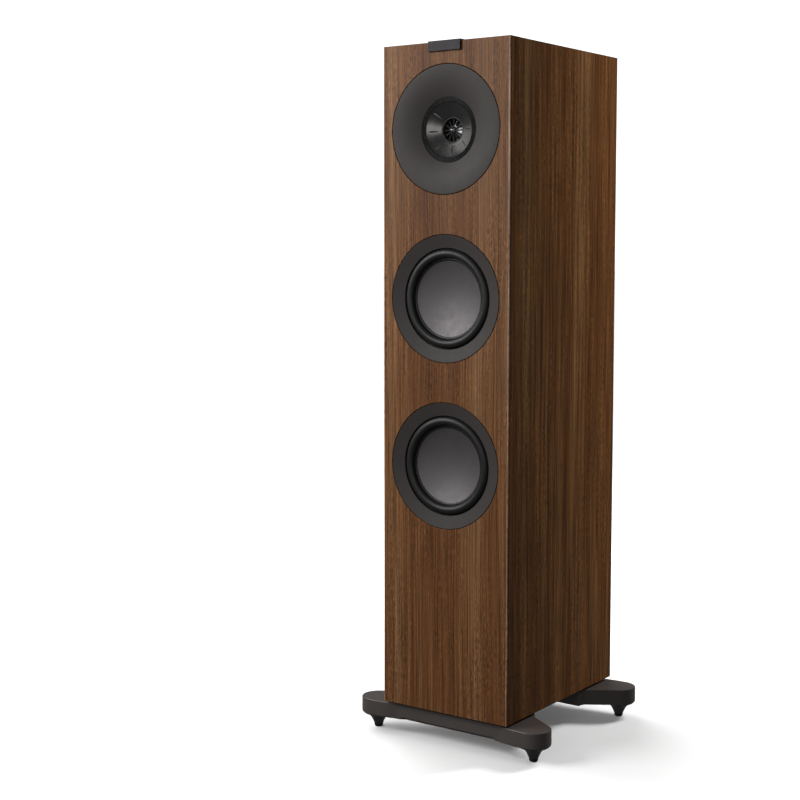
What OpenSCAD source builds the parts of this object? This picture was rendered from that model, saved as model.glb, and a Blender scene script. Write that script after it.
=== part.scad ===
// Floorstanding three-way speaker: a slim tower on two crossbars with four levelling feet.
// Millimetres, +Z up, the front faces -Y. The origin is on the floor, at the middle of the outline.
// Driver parts are turned profiles of radius and depth, where depth is measured back from the front face.

/* [Cabinet] */
// Outside width of the cabinet
cabinet_w = 210; // [206:1:230]
// Outside depth of the cabinet
cabinet_d = 304; // [296:1:340]
// Outside height of the cabinet
cabinet_h = 942; // [936:1:980]
// Height of the cabinet's underside above the floor
cabinet_lift = 50; // [50:1:54]
// Thickness of the front baffle
baffle_t = 22; // [21:1:25]
// Thickness of each side panel
side_t = 15; // [12:1:18]
// Thickness of the top, bottom and back panels
panel_t = 18; // [16:1:20]
// Thickness of the inner shelf and braces
brace_t = 12; // [9:1:15]

/* [Drivers] */
// Height of the mid and high unit above the cabinet's underside
mid_z = 822.5; // [815:0.5:830]
// Height of the upper woofer above the cabinet's underside
upper_woofer_z = 589; // [585:0.5:592]
// Height of the lower woofer above the cabinet's underside
lower_woofer_z = 354.5; // [352:0.5:358]
// Outer radius of every driver's trim
trim_r = 89.2; // [88.8:0.1:90]
// Radius of the opening in a woofer's trim ring
ring_inner_r = 70.8; // [70:0.1:71.5]
// Depth of a woofer's trim ring at its opening
ring_dish = 5; // [4:0.1:5.5]
// Radius of a woofer's cone
woofer_cone_r = 55; // [54:0.1:55.2]
// Depth of the dish in a woofer's cone
woofer_dish = 10; // [7:0.1:12]
// Radius of the opening in the mid flare
flare_inner_r = 45; // [44.6:0.1:45.1]
// Depth of the mid flare at its opening
flare_depth = 9; // [8:0.1:9.4]
// Number of fins in front of the tweeter's dome
fin_count = 12; // [6:1:12]

/* [Back] */
// Radius of each reflex port
port_r = 28; // [22:1:30]
// Length of each port tube behind the back face
port_length = 120; // [80:5:130]
// Height of the lower port above the cabinet's underside
lower_port_z = 300; // [298:1:306]
// Height of the upper port above the cabinet's underside
upper_port_z = 640; // [620:1:645]
// Height of the terminals above the cabinet's underside
terminal_z = 130; // [125:1:150]
// Distance between the two terminals
terminal_pitch = 38; // [34:1:44]

/* [Base] */
// Sideways distance from the middle to a foot
foot_x = 133.7; // [130:0.1:140]
// Distance from the front or back face to the nearest feet
foot_inset = 26; // [25:0.5:32]
// Radius of each foot's pad
pad_r = 24.6; // [22:0.1:25]
// Thickness of the crossbars
bar_t = 23.5; // [23:0.5:24]
// Gap between the crossbars and the cabinet
bar_gap = 3.5; // [3:0.1:4]
// How far a foot can be screwed out
foot_travel = 8; // [4:1:10]

/* [Hidden] */
$fn = 72;
eps = 0.5; // overlap that fuses two shapes of one piece
past = 1; // how far a cut runs past a face

// Overall layout
badge_proud = 3.3;
rear_proud = 16; // how far the terminal knobs stand behind the back face
front_y = -(cabinet_d + rear_proud - badge_proud) / 2;
back_y = front_y + cabinet_d;
inner_w = cabinet_w - 2 * side_t;
woofer_zs = [lower_woofer_z, upper_woofer_z];

// Baffle cut-outs
rebate_gap = 0.4; // around each trim
trim_back = 6.2; // depth of the back of every trim
flange_t = 3; // thickness of every chassis flange
rebate_d = trim_back + flange_t;
flange_r = trim_r - rebate_gap;
driver_hole_r = 77;

// Driver screws
screw_circle_r = 82.7;
screws_per_driver = 6;
screw_r = 2;
screw_head_r = 4;
screw_head_t = 2.2;
screw_length = 14;
screw_clearance = 0.2;
thread_gap = 0.05; // radial clearance in a threaded or turning fit

// Woofer depths
surround_lip_t = 1;
woofer_seat = rebate_d + surround_lip_t; // depth of the seat that carries the surround
cone_edge = 10; // depth of the cone's edge
cone_wall = 0.8;
roll_r = 6.8; // outer radius of the surround's roll
roll_mid_r = 63; // radius at which the roll is highest
roll_depth = 9.5; // depth of the roll's centre
roll_wall = 1;
coil_inner_r = 16.9;
former_wall = 0.4;
spider_gap = 0.3; // round a spider's inner and outer edge
woofer_winding = [42.5, 55.5]; // front and back depth
woofer_spider_depth = 33;
woofer_spider_r = 52; // outer radius of the spider's lip
woofer_fold_r = 46; // radius where the spider's folds end
woofer_folds = 5;
woofer_plate = [46, 52];
woofer_plate_r = 40;
woofer_gap_r = 18.6; // bore of the top plate round the coil
woofer_pole_r = 16.4;
woofer_vent_r = 5;
woofer_magnet_r = [23, 42]; // bore and outside
woofer_magnet_back = 67;
woofer_pole_back = 73;
arm_w = 13;
arm_count = 6;

// Mid depths
mid_lip = 10; // depth of the surround's outer lip
mid_seat = 10.6;
mid_edge = 9.6; // depth of the mid cone's edge
mid_cone_r = 38.4;
mid_throat_r = 18.2;
mid_throat = 18.9; // depth of the mid cone's inner edge
mid_former_r = 18.5;
mid_winding = [38, 46];
mid_spider_depth = 27.6;
mid_spider_r = 38;
mid_fold_r = 32;
mid_folds = 3;
mid_plate = [40, 45];
mid_plate_r = 41;
mid_gap_r = 19.95; // bore of the top plate round the coil
mid_pole_r = 18.05;
mid_magnet_r = [27, 44]; // bore and outside
mid_magnet_back = 59;
mid_pole_back = 65;
mid_bore_r = 15.6; // bore in the pole that takes the tweeter's motor

// Tweeter depths
horn_r = 17.9;
horn_front = 19.3;
dome_r = 12.4;
dome_front = 24.4;
dome_rise = 4;
tweeter_plate = [30, 33];

// Back fittings
plate_w = 110;
plate_h = 70;
plate_t = 3;
post_r = 3;
socket_r = 2;
socket_depth = 14;
post_inner = 26; // how far a post reaches in from the back face
post_outer = 15.5; // how far a post stands behind the back face
collar_r = 6.5;
collar_t = 2;
washer_t = 1;
knob_r = 7.5;
fit_gap = 0.05;

// Base
bar_z = cabinet_lift - bar_gap - bar_t;
bar_front = 8; // how far the crossbar stays behind the face
bar_inner = 88; // depth that the crossbar reaches
bar_half = 100; // half length of its straight part
bolt_x = 70;
bolt_y = 50;
bolt_r = 3;
bolt_head_r = 5;
bolt_head_t = 6;
bolt_sink = 1; // how far a bolt's head is sunk into the crossbar
bolt_reach = 14; // into the bottom panel
stud_r = 4;
stud_length = 18.6;
stud_hole = 20;
tip_h = 5; // height of the soft tip
tip_r = 5.5;
tip_pin_r = 2.5;
tip_pin_h = 5.5;

// Places a child whose z axis is depth behind the front face, at a height above the underside.
module at_front(height, x = 0) {
    translate([x, front_y, cabinet_lift + height]) rotate([-90, 0, 0]) children();
}

// The same, with depth measured from the back face, so that positive z stands proud of it.
module at_back(height, x = 0) {
    translate([x, back_y, cabinet_lift + height]) rotate([-90, 0, 0]) children();
}

// A turned piece from points of radius and depth.
module turned(points) {
    rotate_extrude() polygon(points);
}

// A plain ring between two radii and two depths.
module ring(inner, outer, front, back) {
    turned([[inner, front], [outer, front], [outer, back], [inner, back]]);
}

// A block inside the cabinet: x from the middle, y behind the front face, z above the underside.
module block(low, high) {
    translate([low[0], front_y + low[1], cabinet_lift + low[2]]) cube(high - low);
}

// Points along an arc in a profile.
function arc(centre, radius, from, to, steps) = [
    for (i = [0 : steps])
        let (a = from + (to - from) * i / steps)
            [centre[0] + radius * cos(a), centre[1] + radius * sin(a)]
];

// A thin sheet's outline: its front line, then the same line moved back by its wall.
function sheet(line, wall) = concat(
    line,
    [for (i = [len(line) - 1 : -1 : 0]) [line[i][0], line[i][1] + wall]]
);

// A corrugated line between two radii, with its ridges a given height in front of its troughs.
function corrugated(inner, outer, depth, height, waves) = [
    for (i = [0 : 2 * waves])
        [inner + (outer - inner) * i / (2 * waves), depth - (i % 2) * height]
];

// ---- Cabinet ----

module screw_circle() {
    for (i = [0 : screws_per_driver - 1])
        rotate([0, 0, (i + 0.5) * 360 / screws_per_driver]) translate([screw_circle_r, 0, 0]) children();
}

module front_baffle() {
    pilot_depth = trim_back + screw_length + eps;
    color("sienna") difference() {
        block([-cabinet_w / 2, 0, 0], [cabinet_w / 2, baffle_t, cabinet_h]);
        for (z = concat(woofer_zs, [mid_z])) at_front(z) {
            translate([0, 0, -past]) cylinder(r = trim_r + rebate_gap, h = rebate_d + past);
            cylinder(r = driver_hole_r, h = baffle_t + past);
            screw_circle() cylinder(r = screw_r + thread_gap, h = pilot_depth);
        }
    }
}

module side_panel(side) {
    x = side * (cabinet_w - side_t) / 2;
    color("saddlebrown")
        block([x - side_t / 2, baffle_t, 0], [x + side_t / 2, cabinet_d, cabinet_h]);
}

module level_panel(z) {
    block([-inner_w / 2, baffle_t, z], [inner_w / 2, cabinet_d, z + panel_t]);
}

module top_panel() {
    color("saddlebrown") level_panel(cabinet_h - panel_t);
}

// Places a child at each crossbar bolt, seen from below.
module at_bolts() {
    for (x = [-bolt_x, bolt_x], y = [bolt_y, cabinet_d - bolt_y]) translate([x, front_y + y, 0]) children();
}

module bottom_panel() {
    color("saddlebrown") difference() {
        level_panel(0);
        at_bolts() translate([0, 0, cabinet_lift - past])
            cylinder(r = bolt_r + thread_gap, h = bolt_reach + eps + past);
    }
}

port_body_r = port_r + 2;
port_mouth_r = port_r + 13;
port_mouth_depth = 12;
port_flange_w = 5; // width of the flange round a port's mouth
panel_gap = 0.2; // between the back panel and what passes through it

module back_panel() {
    post_hole_r = post_r + panel_gap;
    color("saddlebrown") difference() {
        block([-inner_w / 2, cabinet_d - panel_t, panel_t], [inner_w / 2, cabinet_d, cabinet_h - panel_t]);
        for (z = [lower_port_z, upper_port_z]) at_back(z) {
            translate([0, 0, -port_mouth_depth - panel_gap])
                cylinder(r = port_mouth_r + panel_gap, h = panel_t);
            translate([0, 0, -panel_t - past]) cylinder(r = port_body_r + panel_gap, h = panel_t);
        }
        for (side = [-1, 1]) at_back(terminal_z, side * terminal_pitch / 2)
            translate([0, 0, -panel_t - past]) cylinder(r = post_hole_r, h = panel_t + 2 * past);
        at_plate_screws() translate([0, 0, -plate_screw_length - eps])
            cylinder(r = screw_r + thread_gap, h = plate_screw_length + past);
    }
}

shelf_z = 700;
brace_zs = [236, 466];
lead_y = 110; // depth at which the leads climb
lead_gap = 8; // sideways distance between two leads
lead_r = 1.8;
lead_clearance = 0.4;

// A level board across the inside, with upright round holes given as x, y behind the front face and radius.
module inner_board(z, holes) {
    difference() {
        block([-inner_w / 2, baffle_t, z], [inner_w / 2, cabinet_d - panel_t, z + brace_t]);
        for (hole = holes) translate([hole[0], front_y + hole[1], cabinet_lift + z - past])
            cylinder(r = hole[2], h = brace_t + 2 * past);
    }
}

// The shelf closes the mid unit's own chamber, and the braces below it are open frames.
module shelf_and_braces() {
    window_r = 40;
    windows = [[0, 92, window_r], [0, 200, window_r]];
    color("tan") {
        inner_board(shelf_z, [[lead_gap, lead_y, lead_r + lead_clearance]]);
        for (z = brace_zs) inner_board(z, windows);
    }
}

// Pads on the back wall, each clear of the ports, braces and shelf. Each is bottom, top and thickness.
module wadding() {
    side_gap = 8;
    half = inner_w / 2 - side_gap;
    back = cabinet_d - panel_t;
    pads = [[350, 455, 28], [490, 590, 28], [735, 905, 60]];
    color("gainsboro") for (pad = pads) block([-half, back - pad[2], pad[0]], [half, back, pad[1]]);
}

module badge() {
    badge_half = 26.7;
    badge_drop = 13; // how far it reaches down the face
    badge_bottom = cabinet_h - badge_drop;
    badge_over = 1.4; // thickness above the cabinet's top
    badge_hook = 8; // reach over the top edge
    color("dimgray") {
        block([-badge_half, -badge_proud, badge_bottom], [badge_half, 0, cabinet_h + badge_over]);
        block([-badge_half, -eps, cabinet_h], [badge_half, badge_hook, cabinet_h + badge_over]);
    }
}

// ---- Woofers ----

module woofer_trim_rings() {
    color("dimgray") for (z = woofer_zs) at_front(z) turned([
        [ring_inner_r, ring_dish], [trim_r, 0], [trim_r, trim_back], [ring_inner_r, trim_back]
    ]);
}

// Clearance hole for a countersunk driver screw.
module screw_sink() {
    head_back = trim_back + screw_head_t;
    turned([
        [0, trim_back - past], [screw_head_r + screw_clearance, trim_back - past],
        [screw_head_r + screw_clearance, trim_back], [screw_r + screw_clearance, head_back],
        [screw_r + screw_clearance, rebate_d + past], [0, rebate_d + past]
    ]);
}

// Arms of a chassis: flat ribs of one width, each cut from a profile of radius and depth.
module arms(profile) {
    for (i = [0 : arm_count - 1]) rotate([0, 0, (i + 0.5) * 360 / arm_count])
        rotate([90, 0, 0]) translate([0, 0, -arm_w / 2]) linear_extrude(arm_w) polygon(profile);
}

module woofer_chassis() {
    neck_r = 73;
    neck_outer = driver_hole_r - 0.5;
    seat_inner = 68.5;
    seat_back = 13;
    spider_ring = [47, 53];
    back_ring = [30, 42];
    ring_t = 3;
    color("dimgray") for (z = woofer_zs) at_front(z) difference() {
        union() {
            turned([
                [neck_r, trim_back], [flange_r, trim_back], [flange_r, rebate_d], [neck_outer, rebate_d],
                [neck_outer, seat_back], [seat_inner, seat_back], [seat_inner, woofer_seat],
                [neck_r, woofer_seat]
            ]);
            arms([
                [seat_inner + 1, seat_back - 1], [neck_outer - eps, seat_back - 1],
                [spider_ring[1] + 3, woofer_spider_depth + 4], [back_ring[1] - eps, woofer_plate[0]],
                [back_ring[0] + 6, woofer_plate[0]], [back_ring[0] + 6, woofer_plate[0] - ring_t],
                [spider_ring[0] + 2, woofer_spider_depth + 2], [woofer_spider_r + spider_gap, woofer_spider_depth]
            ]);
            ring(spider_ring[0], spider_ring[1], woofer_spider_depth, woofer_spider_depth + ring_t);
            ring(back_ring[0], back_ring[1], woofer_plate[0] - ring_t, woofer_plate[0]);
        }
        screw_circle() screw_sink();
    }
}

module woofer_surround(z) {
    outer_lip = 72.8;
    inner_lip = woofer_cone_r + 0.3;
    lip_front = woofer_seat - surround_lip_t;
    inner_roll = roll_r - roll_wall;
    color("black") at_front(z) turned(concat(
        [[outer_lip, lip_front]],
        arc([roll_mid_r, roll_depth], roll_r, -4, -176, 12),
        [[inner_lip, lip_front], [inner_lip, woofer_seat]],
        arc([roll_mid_r, roll_depth + surround_lip_t / 2], inner_roll, -180, 0, 12),
        [[outer_lip, woofer_seat]]
    ));
}

// Depth of a woofer cone's front at a radius.
function woofer_cone_depth(r) = cone_edge + woofer_dish * (1 - pow(r / woofer_cone_r, 2));

module woofer_cone(z) {
    steps = 9;
    line = [for (i = [0 : steps]) let (r = woofer_cone_r * i / steps) [r, woofer_cone_depth(r)]];
    color("silver") at_front(z) turned(sheet(line, cone_wall));
}

// A former with its winding outside the back end.
module coil(inner, front, winding, winding_t) {
    former = inner + former_wall;
    turned([
        [inner, front], [former, front], [former, winding[0]], [former + winding_t, winding[0]],
        [former + winding_t, winding[1]], [inner, winding[1]]
    ]);
}

module woofer_voice_coil(z) {
    front = woofer_cone_depth(coil_inner_r) + cone_wall;
    color("peru") at_front(z) coil(coil_inner_r, front, woofer_winding, 0.8);
}

// A corrugated disc round a coil's former, with a flat outer lip that is glued to the chassis.
module spider(former_r, fold_r, lip_r, depth, folds) {
    wall = 0.6;
    fold = 1.8; // height of each fold
    front = depth - wall;
    inner = former_r + former_wall + spider_gap;
    turned(sheet(concat(corrugated(inner, fold_r, front, fold, folds), [[lip_r, front]]), wall));
}

module woofer_spiders() {
    color("goldenrod") for (z = woofer_zs) at_front(z)
        spider(coil_inner_r, woofer_fold_r, woofer_spider_r, woofer_spider_depth, woofer_folds);
}

module woofer_top_plates() {
    color("gray") for (z = woofer_zs) at_front(z)
        ring(woofer_gap_r, woofer_plate_r, woofer_plate[0], woofer_plate[1]);
}

module woofer_magnets() {
    color("darkslategray") for (z = woofer_zs) at_front(z)
        ring(woofer_magnet_r[0], woofer_magnet_r[1], woofer_plate[1], woofer_magnet_back);
}

// A back plate with a pole that stands in the coil, and a vent or bore through both.
module pole_plate(bore, pole, plate, pole_front, plate_front, back) {
    turned([
        [bore, pole_front], [pole, pole_front], [pole, plate_front],
        [plate, plate_front], [plate, back], [bore, back]
    ]);
}

module woofer_pole_plates() {
    front = woofer_plate[0];
    color("gray") for (z = woofer_zs) at_front(z)
        pole_plate(woofer_vent_r, woofer_pole_r, woofer_plate_r, front, woofer_magnet_back, woofer_pole_back);
}

// ---- Mid and high unit ----

// Depth of the flare's front at a radius.
function flare_front(r) = flare_depth * pow(max(trim_r - r, 0) / (trim_r - flare_inner_r), 2.2);

module mid_flare() {
    steps = 12;
    line = [
        for (i = [0 : steps])
            let (r = flare_inner_r + (trim_r - flare_inner_r) * i / steps) [r, flare_front(r)]
    ];
    color("dimgray") at_front(mid_z) turned(concat(
        line, [[trim_r, trim_back], [62, trim_back], [52, mid_lip], [flare_inner_r, mid_lip]]
    ));
}

module mid_chassis() {
    seat_back = 13.4;
    seat_inner = flare_inner_r - 1;
    spider_ring = [33, 39];
    back_ring = [26, 41];
    ring_t = 2.5;
    color("dimgray") at_front(mid_z) difference() {
        union() {
            turned([
                [64, trim_back], [flange_r, trim_back], [flange_r, rebate_d], [68, rebate_d],
                [58, seat_back], [seat_inner, seat_back], [seat_inner, mid_seat], [54, mid_seat]
            ]);
            arms([
                [seat_inner + 4, seat_back - 1], [56, seat_back - 1], [spider_ring[1] + 3, 30],
                [back_ring[1] - 1, mid_plate[0]], [back_ring[0] + 6, mid_plate[0]],
                [back_ring[0] + 6, mid_plate[0] - ring_t], [spider_ring[0] + 3, 29],
                [mid_spider_r + spider_gap, mid_spider_depth]
            ]);
            ring(spider_ring[0], spider_ring[1], mid_spider_depth, mid_spider_depth + ring_t);
            ring(back_ring[0], back_ring[1], mid_plate[0] - ring_t, mid_plate[0]);
        }
        screw_circle() screw_sink();
    }
}

module mid_surround() {
    inner = mid_cone_r + 0.3;
    line = concat(corrugated(inner, flare_inner_r - 0.6, mid_lip, 1.2, 3), [[50, mid_lip]]);
    color("black") at_front(mid_z) turned(sheet(line, mid_seat - mid_lip));
}

// Depth of the mid cone's front at a radius.
function mid_cone_depth(r) =
    mid_edge + (mid_throat - mid_edge) * pow((mid_cone_r - r) / (mid_cone_r - mid_throat_r), 0.9);

module mid_cone() {
    steps = 6;
    line = [
        for (i = [0 : steps])
            let (r = mid_throat_r + (mid_cone_r - mid_throat_r) * i / steps) [r, mid_cone_depth(r)]
    ];
    color("silver") at_front(mid_z) turned(sheet(line, cone_wall));
}

module mid_voice_coil() {
    front = mid_cone_depth(mid_former_r) + cone_wall + 0.1;
    color("peru") at_front(mid_z) coil(mid_former_r, front, mid_winding, 0.6);
}

module mid_spider() {
    color("goldenrod") at_front(mid_z)
        spider(mid_former_r, mid_fold_r, mid_spider_r, mid_spider_depth, mid_folds);
}

module mid_top_plate() {
    color("gray") at_front(mid_z) ring(mid_gap_r, mid_plate_r, mid_plate[0], mid_plate[1]);
}

module mid_magnet() {
    color("darkslategray") at_front(mid_z)
        ring(mid_magnet_r[0], mid_magnet_r[1], mid_plate[1], mid_magnet_back);
}

module mid_pole_plate() {
    color("gray") at_front(mid_z)
        pole_plate(mid_bore_r, mid_pole_r, mid_plate_r, mid_plate[0], mid_magnet_back, mid_pole_back);
}

// The horn ring with radial fins that stand clear in front of the dome.
module tweeter_waveguide() {
    fin_t = 1;
    hub_r = 1.8;
    hub = [21.4, 23.3]; // front and back depth
    rim = 0.8; // round along the horn's front edge
    throat = [[16.2, horn_front], [15.2, horn_front + 1.3], [14.6, 24], [15, 27]];
    fin = [[1, 21.6], [15.5, 22.4], [15.5, 27], [13, 27], [10, 25.6], [6, 24.1], [1, 23.2]];
    color("darkgray") at_front(mid_z) {
        turned(concat([
            [15, tweeter_plate[0]], [horn_r, tweeter_plate[0]],
            [horn_r, horn_front + rim], [horn_r - rim, horn_front]
        ], throat));
        cylinder_from(hub_r, hub[0], hub[1]);
        for (i = [0 : fin_count - 1]) rotate([0, 0, i * 360 / fin_count])
            rotate([90, 0, 0]) translate([0, 0, -fin_t / 2]) linear_extrude(fin_t) polygon(fin);
    }
}

module cylinder_from(radius, front, back) {
    translate([0, 0, front]) cylinder(r = radius, h = back - front);
}

module tweeter_dome() {
    wall = 0.4;
    coil_front = 29.6;
    winding_back = 33.6;
    sphere_r = (dome_r * dome_r + dome_rise * dome_rise) / (2 * dome_rise);
    centre = dome_front + sphere_r;
    half_angle = asin(dome_r / sphere_r);
    edge = dome_front + dome_rise;
    inner_edge = edge + wall / 2;
    coil_back = 35;
    color("gainsboro") at_front(mid_z) turned(concat(
        arc([0, centre], sphere_r, -90, -90 + half_angle, 8),
        [
            [dome_r, coil_front], [dome_r + wall, coil_front], [dome_r + wall, winding_back],
            [dome_r, winding_back],
            [dome_r, coil_back], [dome_r - wall, coil_back]
        ],
        [[dome_r - wall, inner_edge]],
        arc([0, centre], sphere_r - wall, -92 + half_angle, -90, 7)
    ));
}

module tweeter_surround() {
    color("black") at_front(mid_z) turned([
        [12.8, 28.6], [13.4, 28.1], [14.2, 28.1], [14.9, 28.9], [14.9, 30],
        [14.4, 30], [14.4, 29.1], [14, 28.6], [13.6, 28.6], [12.8, 29.1]
    ]);
}

module tweeter_housing() {
    color("gray") at_front(mid_z) turned([
        [13.2, tweeter_plate[0]], [horn_r, tweeter_plate[0]], [horn_r, mid_plate[0]],
        [mid_bore_r, mid_plate[0]], [mid_bore_r, tweeter_plate[1]], [13.2, tweeter_plate[1]]
    ]);
}

module tweeter_motor() {
    cap_r = 11.6;
    slug_r = 11;
    cup_inner = 13.8;
    cup_outer = 15.4;
    cup_front = tweeter_plate[1] + 0.2;
    cup_floor = 38;
    color("darkslategray") at_front(mid_z) turned([
        [0, tweeter_plate[0]], [cap_r, tweeter_plate[0]], [cap_r, tweeter_plate[1]],
        [slug_r, tweeter_plate[1]], [slug_r, cup_floor], [cup_inner, cup_floor], [cup_inner, cup_front],
        [cup_outer, cup_front], [cup_outer, 41], [0, 41]
    ]);
}

// ---- Screws ----

// A countersunk screw whose head starts at z = 0 and whose point is at its length.
module countersunk(length) {
    turned([[0, 0], [screw_head_r, 0], [screw_r, screw_head_t], [screw_r, length], [0, length]]);
}

plate_screw_length = 12;
plate_screw_x = plate_w / 2 - 8;
plate_screw_y = plate_h / 2 - 8;

module at_plate_screws() {
    for (x = [-1, 1], y = [-1, 1])
        at_back(terminal_z) translate([x * plate_screw_x, y * plate_screw_y, 0]) children();
}

module wood_screws() {
    color("black") {
        for (z = concat(woofer_zs, [mid_z])) at_front(z)
            screw_circle() translate([0, 0, trim_back]) countersunk(screw_length);
        at_plate_screws() translate([0, 0, plate_t]) mirror([0, 0, 1])
            countersunk(plate_screw_length + plate_t);
    }
}

// ---- Ports ----

module port(z) {
    lip = 2.5;
    flange = port_mouth_r + port_flange_w;
    flare_r = 10.5;
    start = lip - flare_r;
    color("black") at_back(z) turned(concat(
        [[port_r, -port_length]],
        [for (i = [0 : 6]) [port_r + flare_r * (1 - cos(i * 15)), start + flare_r * sin(i * 15)]],
        [
            [flange, lip], [flange, 0], [port_mouth_r, 0], [port_mouth_r, -port_mouth_depth],
            [port_body_r, -port_mouth_depth], [port_body_r, -port_length]
        ]
    ));
}

// ---- Crossover and leads ----

board_z = panel_t + 8;
board_top = board_z + 1.6;

module crossover_board() {
    half = 65;
    ys = [60, 230];
    leg_inset = 6;
    leg_r = 4;
    color("darkgreen") {
        block([-half, ys[0], board_z], [half, ys[1], board_top]);
        for (x = [leg_inset - half, half - leg_inset], y = [ys[0] + leg_inset, ys[1] - leg_inset])
            translate([x, front_y + y, cabinet_lift + panel_t])
                cylinder(r = leg_r, h = board_z - panel_t + eps);
    }
}

// Ring coils lying on the board, each given as x, y behind the front face, and radius.
module crossover_coils() {
    coil_h = 20;
    coils = [[-38, 92, 22], [38, 92, 22], [-38, 186, 26]];
    color("peru") for (c = coils)
        translate([c[0], front_y + c[1], cabinet_lift + board_top]) difference() {
            cylinder(r = c[2], h = coil_h);
            translate([0, 0, -past]) cylinder(r = c[2] / 2, h = coil_h + 2 * past);
        }
}

module crossover_capacitors() {
    cap_r = 9;
    cap_length = 46;
    cap_y = 135;
    color("steelblue") for (x = [14, 34, 54])
        translate([x, front_y + cap_y, cabinet_lift + board_top + cap_r]) rotate([-90, 0, 0])
            cylinder(r = cap_r, h = cap_length);
}

function unit(v) = v / norm(v);

// A tube swept along points that share one x, with a ring at each point.
module lead(x, path) {
    sides = 8;
    count = len(path);
    ahead = [
        for (i = [0 : count - 1]) unit(path[min(i + 1, count - 1)] - path[max(i - 1, 0)])
    ];
    points = [
        for (i = [0 : count - 1], s = [0 : sides - 1])
            let (a = s * 360 / sides, across = lead_r * sin(a))
                [
                    x + lead_r * cos(a),
                    front_y + path[i][0] - ahead[i][1] * across,
                    cabinet_lift + path[i][1] + ahead[i][0] * across
                ]
    ];
    walls = [
        for (i = [0 : count - 2], s = [0 : sides - 1])
            let (a = i * sides + s, b = i * sides + (s + 1) % sides)
                [a, a + sides, b + sides, b]
    ];
    near = [for (s = [0 : sides - 1]) s];
    far = [for (s = [0 : sides - 1]) count * sides - 1 - s];
    polyhedron(points = points, faces = concat(walls, [near, far]));
}

// Route from the board up to a driver: y behind the front face and z above the underside.
function climb(top, forward) = [
    [lead_y + 8, board_top + 2.2], [lead_y + 5, board_top + 3], [lead_y + 1, board_top + 8],
    [lead_y, board_top + 18], [lead_y, brace_zs[0]], [lead_y, top - 60], [lead_y - 1, top - 24],
    [lead_y - 6, top - 8], [lead_y - 16, top - 1], [forward + 12, top], [forward, top]
];

// Route from a post's inner end down to the board.
post_route = [
    [277.6, 0], [270, -1], [261, -7], [255, -20], [252, -42], [249, -66], [242, -84],
    [233, -94], [222, -98.2], [214, -99.2]
];

module speaker_wires() {
    color("crimson") {
        lead(-lead_gap, climb(lower_woofer_z - 52, 41));
        lead(0, climb(upper_woofer_z - 52, 41));
        lead(lead_gap, climb(mid_z - 50, 22.5));
        for (side = [-1, 1])
            lead(side * terminal_pitch / 2, [for (p = post_route) [p[0], p[1] + terminal_z]]);
    }
}

// ---- Terminals ----

module terminal_plate() {
    color("black") at_back(terminal_z) difference() {
        translate([-plate_w / 2, -plate_h / 2, 0]) cube([plate_w, plate_h, plate_t]);
        for (side = [-1, 1]) translate([side * terminal_pitch / 2, 0, -past])
            cylinder(r = post_r + screw_clearance, h = plate_t + 2 * past);
        for (x = [-1, 1], y = [-1, 1]) translate([x * plate_screw_x, y * plate_screw_y, 0]) plate_sink();
    }
}

// Clearance hole for a countersunk plate screw.
module plate_sink() {
    wide = screw_head_r + screw_clearance;
    narrow = screw_r + screw_clearance;
    turned([
        [0, -past], [narrow, -past], [narrow, plate_t - screw_head_t],
        [wide, plate_t], [wide, plate_t + past], [0, plate_t + past]
    ]);
}

// Threaded posts with a collar on the plate and a socket for a 4 mm plug.
module binding_posts() {
    collar_back = plate_t + collar_t;
    color("gold") for (side = [-1, 1]) at_back(terminal_z, side * terminal_pitch / 2) turned([
        [0, -post_inner], [post_r, -post_inner], [post_r, plate_t], [collar_r, plate_t],
        [collar_r, collar_back], [post_r, collar_back], [post_r, post_outer],
        [socket_r, post_outer], [socket_r, post_outer - socket_depth], [0, post_outer - socket_depth]
    ]);
}

washer_front = plate_t + collar_t + fit_gap;

module clamp_washer(side) {
    color("gold") at_back(terminal_z, side * terminal_pitch / 2)
        ring(post_r + thread_gap, collar_r, washer_front, washer_front + washer_t);
}

module knob(side, paint) {
    front = washer_front + washer_t + fit_gap;
    bevel = 1;
    color(paint) at_back(terminal_z, side * terminal_pitch / 2) turned([
        [post_r + thread_gap, front], [knob_r, front], [knob_r, rear_proud - bevel],
        [knob_r - bevel, rear_proud], [post_r + thread_gap, rear_proud]
    ]);
}

// ---- Base ----

// Half of the crossbar's outline, with y behind the face that it follows. Its face steps forward to
// the pad between two points, and its inner side leaves the pad along a tangent.
module arm_outline() {
    step_start = [84, bar_front];
    step_end = [104, foot_inset - pad_r + 1.8];
    leave = 57.4; // angle round the pad where the inner side leaves it
    polygon([
        [0, bar_front], step_start, step_end, [foot_x, foot_inset - pad_r], [foot_x, foot_inset],
        [foot_x + pad_r * cos(leave), foot_inset + pad_r * sin(leave)],
        [bar_half, bar_inner - 11], [bar_half, bar_inner], [0, bar_inner]
    ]);
    translate([foot_x, foot_inset]) circle(r = pad_r);
}

module crossbar() {
    sink_r = bolt_head_r + 0.5;
    difference() {
        translate([0, front_y, bar_z]) linear_extrude(bar_t) {
            arm_outline();
            mirror([1, 0]) arm_outline();
        }
        for (side = [-1, 1]) {
            translate([side * foot_x, front_y + foot_inset, bar_z - past])
                cylinder(r = stud_r + thread_gap, h = stud_hole + past);
            translate([side * bolt_x, front_y + bolt_y, bar_z - past]) {
                cylinder(r = bolt_r + screw_clearance, h = bar_t + 2 * past);
                cylinder(r = sink_r, h = bolt_sink + bolt_head_t + past);
            }
        }
    }
}

// Turns a front piece of the base into the rear one.
module to_rear() {
    translate([0, 2 * front_y + cabinet_d, 0]) mirror([0, 1, 0]) children();
}

module plinth_front() {
    color("dimgray") crossbar();
}

module plinth_rear() {
    color("dimgray") to_rear() crossbar();
}

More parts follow.
